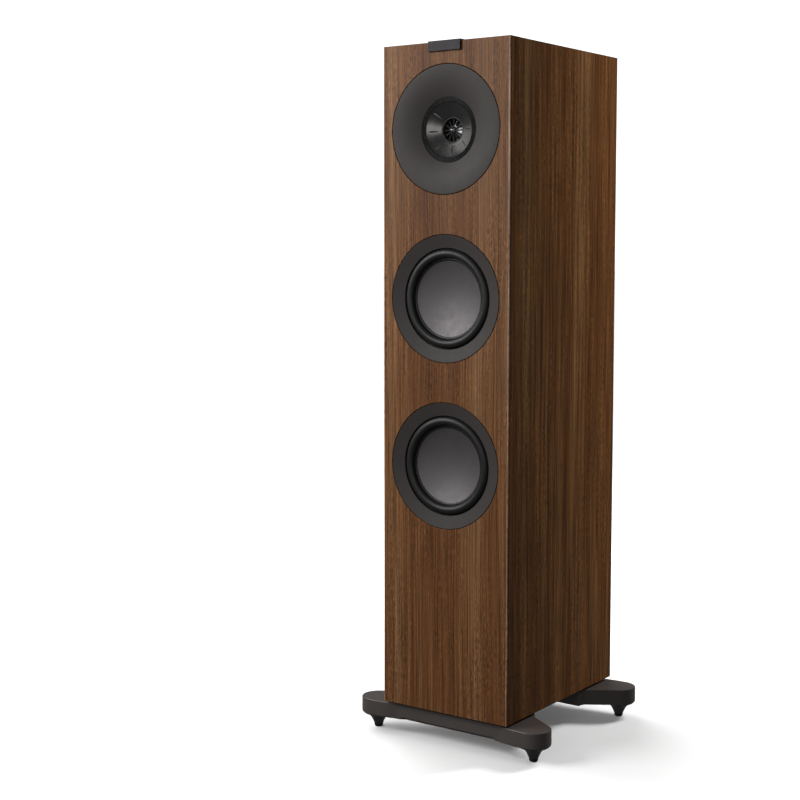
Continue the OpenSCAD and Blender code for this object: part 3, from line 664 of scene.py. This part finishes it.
def woofer_surround(name, origin):
    """A half roll between a lip on the chassis and a lip glued over the cone's edge."""
    lip_r = 72.8
    wall = 1
    outline = [(lip_r, REBATE_DEPTH)]
    outline += arc((ROLL_MID_R, ROLL_DEPTH), ROLL_R, -3, -177, 20)
    outline += [
        (55.6, 9.0), (55.2, 9.05), (53.7, 9.55), (53.4, 9.9), (53.5, cone_depth(53.5) - 0.02),
        (55.3, 10.1), (56.2, 10.2),
    ]
    outline += arc((ROLL_MID_R, ROLL_DEPTH + wall / 2), ROLL_R - wall, -176, -4, 16)
    outline += [(69.6, REBATE_DEPTH + wall), (lip_r, REBATE_DEPTH + wall)]
    body = f"{name}_woofer"
    wedges(f"{name}_surround", outline, origin, f"{body}_surround")


# ---- Mid and high unit ----

def flare_front(radius):
    """How deep the flare's face lies: flat at its rim, steeper inwards."""
    return FLARE_DEPTH * (max(TRIM_R - radius, 0) / (TRIM_R - FLARE_R)) ** 2.2


def mid_flare():
    """The ring round the mid cone. Its face flares, and both its edges are eased."""
    inner = [(FLARE_R, 10), (FLARE_R, FLARE_DEPTH + 0.5), (FLARE_R + 0.1, FLARE_DEPTH + 0.1)]
    front = [(r, flare_front(r)) for r in evenly(FLARE_R + 0.35, TRIM_R - 0.6, 40)]
    rim = [(TRIM_R - 0.2, 0.1), (TRIM_R, 0.45), (TRIM_R, TRIM_BACK)]
    back = [(62, TRIM_BACK), (52, 10)]
    obj = turned_piece("mid_flare_ring", inner + front + rim + back, [MID], TRIM_GREY)
    place(obj, "cabinet", "trim_grey", "mid_flare")


def mid_surround():
    """Three concentric ridges between the flare and the cone."""
    inner, outer = MID_CONE_R + 0.1, FLARE_R - 0.3
    base, lip_r, wall = 10, 50, 0.6
    ridges, ridge_height = 3, 1.15
    line = []
    for t in evenly(0, 1, 42):
        ridge = 0.5 - 0.5 * math.cos(2 * math.pi * ridges * t)
        line.append((inner + (outer - inner) * t, base - ridge_height * ridge))
    outline = line + [(lip_r, base), (lip_r, base + wall)] + [(r, d + wall) for r, d in reversed(line)]
    wedges("mid_surround", outline, MID, "mid_surround")


def mid_cone_depth(radius):
    """How deep the mid cone's face lies, with a slight curve."""
    inward = (MID_CONE_R - radius) / (MID_CONE_R - MID_THROAT_R)
    return MID_EDGE + (MID_THROAT - MID_EDGE) * inward ** 0.9


def mid_cone():
    """A shallow metal cone with eight pressed ribs."""
    rib_count = 8
    rib_offset = math.radians(3)
    rib_inner, rib_outer = 22.5, 35.5
    rib_half = 0.75
    rib_height = 0.5

    def pressed(radius, depth, angle):
        if radius <= MID_THROAT_R or radius >= MID_CONE_R:
            return radius, depth
        pitch = 2 * math.pi / rib_count
        away = (angle - rib_offset + pitch / 2) % pitch - pitch / 2
        outward = (radius - rib_inner) / (rib_outer - rib_inner)
        if not 0 < outward < 1:
            return radius, depth
        narrow = rib_half * (0.45 + 0.55 * math.sin(math.pi * outward))
        height = rib_height * math.sin(math.pi * outward) ** 0.5
        return radius, depth - height * math.exp(-(radius * away / narrow) ** 2)

    front = [(r, mid_cone_depth(r)) for r in evenly(MID_THROAT_R, MID_CONE_R, 46)]
    back = [(MID_CONE_R, MID_EDGE + CONE_WALL), (MID_THROAT_R, MID_THROAT + CONE_WALL)]
    steps = 3 * TURN_STEPS
    obj = turned_piece("mid_cone_pressed", front + back, [MID], MID_METAL, steps=steps, shape=pressed)
    place(obj, "midrange", "cone_aluminium", "mid_cone")


def tweeter_waveguide():
    """The horn ring, with thin radial fins that meet at a hub in front of the dome."""
    hub_r, hub_back = 2.7, 23.4
    fin_half, fin_spread, fin_ridge = 0.35, 0.04, 0.35
    bm = bmesh.new()
    turned(bm, soften([
        (15, 30), (HORN_R, 30), (HORN_R, HORN_FRONT, 0.5), (16.4, HORN_FRONT, 0.6),
        (14.8, HORN_FRONT + 3, 1.2), (14.6, 27, 0.5),
    ]), MID)
    turned(bm, soften([(0, 21.2), (hub_r, 21.4, 0.5), (hub_r, hub_back), (0, hub_back)]), MID, steps=48)
    blade = [(1, 21.6), (15.5, 22.0), (15.5, 27), (13, 27), (10, 25.6), (6, 24.1), (1, 23.2)]
    for i in range(FIN_COUNT):
        round_hub = Matrix.Rotation(-2 * math.pi * i / FIN_COUNT, 4, "Y")
        turn = Matrix.Translation(MID) @ round_hub @ Matrix.Scale(MM, 4)
        sides = []
        for side in (-1, 1):
            corners = [(r, d, side * (fin_half + fin_spread * r)) for r, d in blade]
            sides.append([bm.verts.new(turn @ Vector(corner)) for corner in corners])
        front = [bm.verts.new(turn @ Vector((r, d - fin_ridge, 0))) for r, d in blade[:2]]
        bm.faces.new(sides[0])
        bm.faces.new(sides[1])
        for j in range(1, len(blade)):
            k = (j + 1) % len(blade)
            bm.faces.new((sides[0][j], sides[0][k], sides[1][k], sides[1][j]))
        for side in sides:
            bm.faces.new((side[0], side[1], front[1], front[0]))
        bm.faces.new((sides[0][0], front[0], sides[1][0]))
        bm.faces.new((sides[0][1], sides[1][1], front[1]))
    obj = weigh_normals(to_object(bm, "finned_waveguide", HORN_BLACK))
    place(obj, "cabinet", "chassis_grey", "tweeter_waveguide")


def tweeter_dome():
    """A thin dome on its coil former, with the coil round it."""
    wall = 0.4
    sphere = (DOME_R ** 2 + DOME_RISE ** 2) / (2 * DOME_RISE)
    half = math.degrees(math.asin(DOME_R / sphere))
    centre = (0, DOME_FRONT + sphere)
    front = arc(centre, sphere, -90, -90 + half, 24)
    front[0].x = 0
    back = arc(centre, sphere - wall, -92 + half, -90, 18)
    back[-1].x = 0
    coil_front, coil_back, former_back = 29.6, 33.6, 35
    coil = [
        (DOME_R, coil_front), (DOME_R + wall, coil_front), (DOME_R + wall, coil_back), (DOME_R, coil_back),
        (DOME_R, former_back), (DOME_R - wall, former_back),
    ]
    obj = turned_piece("tweeter_dome_spun", front + coil + back, [MID], DOME_METAL)
    place(obj, "tweeter", "cone_aluminium", "tweeter_dome")


# ---- Back ----

PORT_R = 28
PORT_LENGTH = 120
PORT_MOUTH_R = 41
TERMINAL_PITCH = 38
# Bores of the washers and knobs, and of the plate's post holes
KNOB_BORE_R = 3.05
POST_HOLE_R = 3.2


def reflex_port(node):
    """A port tube with a rounded mouth, whose lip lies on the back."""
    lip, lip_r, flare, tube_r, neck = 2.5, 46, 10.5, 30, 12
    mouth = arc((PORT_R + flare, lip - flare), flare, 180, 90, 15)
    rest = soften([
        (lip_r, lip, 1.2), (lip_r, 0), (PORT_MOUTH_R, 0), (PORT_MOUTH_R, -neck),
        (tube_r, -neck), (tube_r, -PORT_LENGTH),
    ])
    outline = [(PORT_R, -PORT_LENGTH)] + mouth + rest
    obj = turned_piece("flared_" + node, outline, [Vector((0, back_y, middle(node).z))], SATIN_BLACK)
    place(obj, "cabinet", "satin_black", node)


plate_low, plate_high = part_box("terminal_plate")
PLATE_BACK = plate_high.y
POSTS = {
    colour: Vector((side * TERMINAL_PITCH / 2 * MM, back_y, middle("terminal_plate").z))
    for colour, side in (("red", 1), ("black", -1))
}


def plate_screw_places():
    inset = 8 * MM
    for x in (plate_low.x + inset, plate_high.x - inset):
        for z in (plate_low.z + inset, plate_high.z - inset):
            yield Vector((x, back_y, z))


def terminal_plate():
    """A flat plate with round corners, holed for its posts and sunk round its screws."""
    corner_round, rim_round = 5 * MM, 0.8 * MM
    bm = block(plate_low, plate_high)
    round_edges(bm, lambda m, d: along(d.y), corner_round, 6)
    round_edges(bm, lambda m, d: is_near(m.y, PLATE_BACK), rim_round)
    obj = to_object(bm, "terminal_back_plate", SATIN_BLACK)
    post_hole = [(0, -1), (POST_HOLE_R, -1), (POST_HOLE_R, 4), (0, 4)]
    screw_hole = [(0, -1), (2.2, -1), (2.2, 0.8), (4.2, 3), (4.2, 4), (0, 4)]
    cutters = [hole(post_hole, origin, 48) for origin in POSTS.values()]
    cutters += [hole(screw_hole, origin, 48) for origin in plate_screw_places()]
    cut(obj, cutters)
    obj.data.set_sharp_from_angle(angle=math.radians(32))
    weigh_normals(obj)
    place(obj, "cabinet", "satin_black", "terminal_plate")


def binding_posts():
    outline = soften([
        (0, -26), (3, -26), (3, 3), (6.5, 3), (6.5, 5, 0.4), (3, 5), (3, 15.5, 0.3),
        (2, 15.5, 0.3), (2, 1.5), (0, 1.5),
    ])
    obj = turned_piece("threaded_posts", outline, POSTS.values(), GOLD, steps=72)
    place(obj, "cabinet", "gold_plated", "binding_posts")


def clamp_washer(colour):
    front, back, rim_r = 5.05, 6.05, 6.5
    outline = soften([
        (KNOB_BORE_R, front), (rim_r, front, 0.25), (rim_r, back, 0.25), (KNOB_BORE_R, back),
    ])
    obj = turned_piece(f"post_washer_{colour}", outline, [POSTS[colour]], GOLD, steps=72)
    place(obj, f"washer_{colour}", "gold_plated", f"clamp_washer_{colour}")


def terminal_knob(colour, material, slot):
    """A knob with gripping flutes round its rim."""
    flute_count, flute_depth = 18, 0.45
    flute_low, flute_high, flute_fade, least_r = 7.2, 15.4, 1.2, 6.9
    bottom, wall_top, wall_r, bore_top = 6.1, 15.0, 7.5, 15.6

    def fluted(radius, depth, angle):
        if radius < least_r:
            return radius, depth
        wave = 0.5 - 0.5 * math.cos(flute_count * angle)
        ends = min(1, max(0, (depth - flute_low) / flute_fade), max(0, (flute_high - depth) / flute_fade))
        return radius - flute_depth * wave ** 2 * ends, depth

    outline = [(KNOB_BORE_R, bottom)] + [(wall_r, depth) for depth in evenly(bottom, wall_top, 12)]
    outline += soften([
        (7.2, 15.5, 0.2), (6.4, 16, 0.4), (4.6, 16, 0.3), (4.3, bore_top, 0.2), (KNOB_BORE_R, bore_top),
    ])
    steps = 12 * flute_count
    origins = [POSTS[colour]]
    obj = turned_piece(f"fluted_knob_{colour}", outline, origins, material, steps=steps, shape=fluted)
    place(obj, f"terminal_knob_{colour}", slot, f"knob_{colour}")


def screw_mesh(length):
    """A countersunk screw with a cross recess. Its head is at depth 0 and it points along +Y."""
    head_r, shank_r, head_depth = 4, 2, 2.2
    recess_reach, recess_depth, recess_half = 2.2 * MM, 1.3 * MM, 0.45 * MM
    bm = bmesh.new()
    outline = [(0, 0), (head_r, 0), (shank_r, head_depth), (shank_r, length), (0, length)]
    turned(bm, outline, (0, 0, 0), steps=32)
    obj = to_object(bm, "screw")
    cutters = []
    for turn in (45, 135):
        blade = block((-recess_reach, -1 * MM, -recess_half), (recess_reach, recess_depth, recess_half))
        bmesh.ops.rotate(blade, matrix=Matrix.Rotation(math.radians(turn), 3, "Y"), verts=blade.verts)
        cutters.append(to_object(blade, "blade"))
    cut(obj, cutters)
    mesh = obj.data
    bpy.data.objects.remove(obj)
    return mesh


def wood_screws():
    circle_r = 82.7 * MM
    per_driver = 6
    bm = bmesh.new()
    driver_screw = screw_mesh(14)
    plate_screw = screw_mesh(15)
    places = []
    for origin in (MID, UPPER_WOOFER, LOWER_WOOFER):
        for i in range(per_driver):
            angle = (i + 0.5) * 2 * math.pi / per_driver
            offset = Vector((circle_r * math.cos(angle), TRIM_BACK * MM, -circle_r * math.sin(angle)))
            places.append((driver_screw, Matrix.Translation(origin + offset)))
    face_back = Matrix.Rotation(math.pi, 4, "Z")
    for origin in plate_screw_places():
        head = Matrix.Translation((origin.x, PLATE_BACK, origin.z))
        places.append((plate_screw, head @ face_back))
    for mesh, matrix in places:
        copy = mesh.copy()
        copy.transform(matrix)
        bm.from_mesh(copy)
    obj = to_object(bm, "cross_head_screws", BLACK_STEEL)
    place(obj, "cabinet", "black_steel", "wood_screws")


# ---- Base ----

# Crossbar outline, measured from the cabinet's middle and in from its front or back
BAR_FRONT = 8
BAR_INNER = 88
BAR_HALF = 100
FOOT_INSET = 26
FOOT_X = middle("foot_front_right").x / MM
PAD_R = 24.6
# Crossbar rounds, and the square step below its outer face
UPPER_ROUND = 1.1
LOWER_ROUND = 2.4
UNDERCUT_X = 76
UNDERCUT_HIGH = 4.6
UNDERCUT_DEEP = 6


def bezier(a, b, c, d, steps):
    """Points along a cubic curve."""
    points = []
    for t in evenly(0, 1, steps):
        s = 1 - t
        points.append(s ** 3 * a + 3 * s * s * t * b + 3 * s * t * t * c + t ** 3 * d)
    return points


def crossbar_outline():
    """Half of a crossbar, from the middle of its face round the pad to the middle of its inner edge."""
    pad_front = FOOT_INSET - PAD_R
    face = bezier(
        Vector((82, BAR_FRONT)), Vector((95, BAR_FRONT)),
        Vector((97, pad_front)), Vector((FOOT_X, pad_front)), 14
    )
    # The pad's round ends on the straight line to the bar's inner side.
    pad_end = math.degrees(math.atan2(20.8, 13.3))
    pad = arc((FOOT_X, FOOT_INSET), PAD_R, -90, pad_end, 44)[1:]
    inner = soften([pad[-1], (BAR_HALF, 77, 5), (BAR_HALF, BAR_INNER, 4), (0, BAR_INNER)], 4)[1:]
    return [Vector((0, BAR_FRONT)), Vector((UNDERCUT_X, BAR_FRONT))] + face + pad + inner


def crossbar(node, origin_y, inward):
    """A crossbar with a small round along its top rim, a larger one below, and a step between its pads."""
    low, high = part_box(node)
    half = crossbar_outline()
    loop = half + [Vector((-p.x, p.y)) for p in reversed(half) if p.x > 0.01]
    bm = bmesh.new()
    corners = [bm.verts.new((p.x * MM, origin_y + inward * p.y * MM, high.z)) for p in loop]
    top = bm.faces.new(corners)
    made = bmesh.ops.extrude_face_region(bm, geom=[top])
    lower = [v for v in made["geom"] if isinstance(v, bmesh.types.BMVert)]
    bmesh.ops.translate(bm, verts=lower, vec=(0, 0, low.z - high.z))
    bm.normal_update()
    round_edges(bm, lambda m, d: is_near(m.z, low.z) and not along(d.z), LOWER_ROUND * MM, 4, clamp=False)
    round_edges(bm, lambda m, d: is_near(m.z, high.z) and not along(d.z), UPPER_ROUND * MM, clamp=False)
    # Between the pads, the outer face's lower round is pulled out into the step. Its points gather in
    # the step's inner corner as these grow.
    pull_up, pull_in, slack = 1.7, 14, 0.05
    for vertex in bm.verts:
        up = (vertex.co.z - low.z) / MM / LOWER_ROUND
        inset = ((vertex.co.y - origin_y) * inward / MM - BAR_FRONT) / LOWER_ROUND
        rounded = -slack < inset < 1 + slack and up < 1 + slack
        if rounded and abs(vertex.co.x) < (UNDERCUT_X + 2) * MM:
            vertex.co.z = low.z + min(pull_up * up, 1) * UNDERCUT_HIGH * MM
            vertex.co.y = origin_y + inward * (BAR_FRONT + min(pull_in * inset, 1) * UNDERCUT_DEEP) * MM
    obj = to_object(bm, "cast_" + node, PLINTH_GREY, sharp=40)
    weigh_normals(obj)
    place(obj, "cabinet", "plinth_grey", node)


def foot(place_name):
    """A turned foot: a wide shoulder under the pad, a concave neck and a cone down to its tip."""
    node = f"foot_{place_name}"
    origin = Vector((middle(node).x, middle(node).y, 0))
    shoulder_r, stud_r, stud_length = 22.2, 4, 18.6
    socket_r, socket_low, socket_high = 2.55, 5.05, 10.8
    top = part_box("plinth_front")[0].z / MM - 0.1
    outline = soften([
        (socket_r, socket_low), (6.7, socket_low, 0.3), (9.2, 11, 2.4), (12.2, 16.2, 2.6),
        (16.4, 19.3, 1.6), (shoulder_r, 21.9, 0.5), (shoulder_r, top),
        (stud_r, top), (stud_r, top + stud_length, 0.4), (0, top + stud_length),
        (0, socket_high), (socket_r, socket_high),
    ])
    obj = turned_piece(f"turned_{node}", outline, [origin], FOOT_BLACK, axis="z", steps=96)
    place(obj, f"stud_{place_name}", "foot_steel", node)


def foot_tip(place_name):
    """A soft tip with a round edge, on a peg in the foot."""
    node = f"foot_tip_{place_name}"
    origin = Vector((middle(node).x, middle(node).y, 0))
    tip_r, tip_high, peg_r, peg_high = 6.5, 5, 2.5, 10.5
    outline = soften([
        (0, 0), (5.4, 0, 1.2), (tip_r, 2.6, 1), (tip_r, tip_high),
        (peg_r, tip_high), (peg_r, peg_high), (0, peg_high),
    ])
    obj = turned_piece(f"soft_{node}", outline, [origin], RUBBER, axis="z", steps=96)
    place(obj, f"tip_{place_name}", "black_rubber", node)


# ---- Pieces whose CAD shape stays ----

CARRIED = {
    "back_panel": FRONT_GRAIN, "bottom_panel": TOP_GRAIN, "shelf_and_braces": BOARD,
    "wadding": WADDING, "woofer_chassis": CHASSIS_GREY, "mid_chassis": CHASSIS_GREY,
    "upper_woofer_voice_coil": COPPER, "lower_woofer_voice_coil": COPPER, "mid_voice_coil": COPPER,
    "woofer_spiders": SPIDER_CLOTH, "mid_spider": SPIDER_CLOTH,
    "woofer_top_plates": MOTOR_STEEL, "mid_top_plate": MOTOR_STEEL,
    "woofer_pole_plates": MOTOR_STEEL, "mid_pole_plate": MOTOR_STEEL,
    "woofer_magnets": MAGNET, "mid_magnet": MAGNET, "tweeter_motor": MAGNET,
    "tweeter_surround": RUBBER, "tweeter_housing": CHASSIS_GREY,
    "crossover_board": BOARD_GREEN, "crossover_coils": COPPER, "crossover_capacitors": CAPACITOR,
    "speaker_wires": LEAD_RED, "plinth_gaskets": RUBBER, "plinth_bolts": BLACK_STEEL,
}


def carry_over():
    """Gives their finishes to the CAD nodes that no piece stands for."""
    for name, material in CARRIED.items():
        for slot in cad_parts[name].material_slots:
            slot.link = "OBJECT"
            slot.material = material


# ---- Studio ----

def studio_floor():
    """A pale floor, a little deeper round the object, where the lights fall strongest."""
    finish = Finish("pale floor", 0.8, specular=0.0)
    finish.shader.inputs["Emission Color"].default_value = (1, 1, 1, 1)
    finish.shader.inputs["Emission Strength"].default_value = 0.09
    cloud = finish.ramp(finish.noise(3, 2, 0.5), [(0.3, (0.94, 0.94, 0.94)), (0.7, (0.96, 0.96, 0.96))])
    away = finish.node("ShaderNodeVectorMath", {0: finish.place}, operation="LENGTH").outputs["Value"]
    finish.colour(finish.shaded(cloud, finish.spread(away, 0.3, 1.3, 0.62, 1.0)))
    bm = bmesh.new()
    bmesh.ops.create_grid(bm, x_segments=8, y_segments=8, size=40)
    floor = to_object(bm, "floor", finish.material)
    floor.visible_diffuse = False
    floor.visible_glossy = False


def sun(name, source, strength, spread):
    """A soft far light that shines from a direction. Its spread is in degrees."""
    lamp = bpy.data.lights.new(name, "SUN")
    lamp.energy = strength
    lamp.angle = math.radians(spread)
    obj = bpy.data.objects.new(name, lamp)
    obj.visible_glossy = False
    obj.rotation_mode = "QUATERNION"
    obj.rotation_quaternion = Vector(source).to_track_quat("Z", "Y")
    bpy.context.scene.collection.objects.link(obj)


def softbox(name, position, target, width, height, power, glossy=True):
    """A flat light out of the camera's sight. glossy is whether the pieces mirror it."""
    lamp = bpy.data.lights.new(name, "AREA")
    lamp.shape = "RECTANGLE"
    lamp.size = width
    lamp.size_y = height
    lamp.energy = power
    obj = bpy.data.objects.new(name, lamp)
    obj.visible_camera = False
    obj.visible_glossy = glossy
    obj.location = position
    obj.rotation_mode = "QUATERNION"
    obj.rotation_quaternion = (Vector(position) - Vector(target)).to_track_quat("Z", "Y")
    bpy.context.scene.collection.objects.link(obj)


def studio_light():
    """The lights, and a white surround that the camera sees brighter than it shines."""
    fill, shown = 0.13, 1.3
    softbox("key", (-1.3, -1.6, 1.5), (0, front_y, 0.62), 1.3, 1.0, 65)
    softbox("front", (0.6, -2.3, 0.9), (0, front_y, 0.8), 0.8, 0.8, 11)
    softbox("left", (-1.7, -0.5, 1.35), (0, front_y, 0.7), 0.5, 0.9, 3)
    softbox("side", (0.75, 1.35, 1.45), (half_width, 0.1, 0.75), 0.5, 0.8, 52, glossy=False)
    sun("overhead", (-0.85, 0.2, 1.0), 2.8, 50)
    sun("back", (-1.0, 0.8, 0.5), 1.5, 40)
    world = bpy.data.worlds.new("studio")
    world.use_nodes = True
    tree = world.node_tree
    tree.nodes["Background"].inputs["Color"].default_value = (1, 1, 1, 1)
    path = tree.nodes.new("ShaderNodeLightPath")
    level = tree.nodes.new("ShaderNodeMapRange")
    level.inputs["To Min"].default_value = fill
    level.inputs["To Max"].default_value = shown
    tree.links.new(path.outputs["Is Camera Ray"], level.inputs["Value"])
    tree.links.new(level.outputs[0], tree.nodes["Background"].inputs["Strength"])
    bpy.context.scene.world = world


def camera():
    """The photograph's viewpoint: low, to the right of the front, turned left and slightly down."""
    right, ahead, up = 1.1755, 1.7348, 0.6612
    yaw = math.radians(-35.81)
    pitch = math.radians(-4.899)
    lens = bpy.data.cameras.new("camera")
    lens.lens = 67.78
    lens.sensor_width = 36
    lens.shift_y = -0.03
    obj = bpy.data.objects.new("camera", lens)
    obj.location = (right, front_y - ahead, underside + up)
    obj.rotation_euler = (math.pi / 2 + pitch, 0, -yaw)
    bpy.context.scene.collection.objects.link(obj)
    bpy.context.scene.camera = obj


# ---- Build ----

camera()
front_baffle()
side_panel("left_side", -1)
side_panel("right_side", 1)
top_panel()
badge()
woofer_rings()
for name, origin in (("upper", UPPER_WOOFER), ("lower", LOWER_WOOFER)):
    woofer_cone(name, origin)
    woofer_surround(name, origin)
mid_flare()
mid_surround()
mid_cone()
tweeter_waveguide()
tweeter_dome()
reflex_port("lower_port")
reflex_port("upper_port")
terminal_plate()
binding_posts()
for colour in ("red", "black"):
    clamp_washer(colour)
terminal_knob("red", KNOB_RED, "knob_red")
terminal_knob("black", KNOB_BLACK, "satin_black")
wood_screws()
crossbar("plinth_front", front_y, 1)
crossbar("plinth_rear", back_y, -1)
for place_name in ("front_left", "front_right", "rear_left", "rear_right"):
    foot(place_name)
    foot_tip(place_name)
carry_over()
studio_floor()
studio_light()
bpy.context.scene.view_settings.view_transform = "Standard"
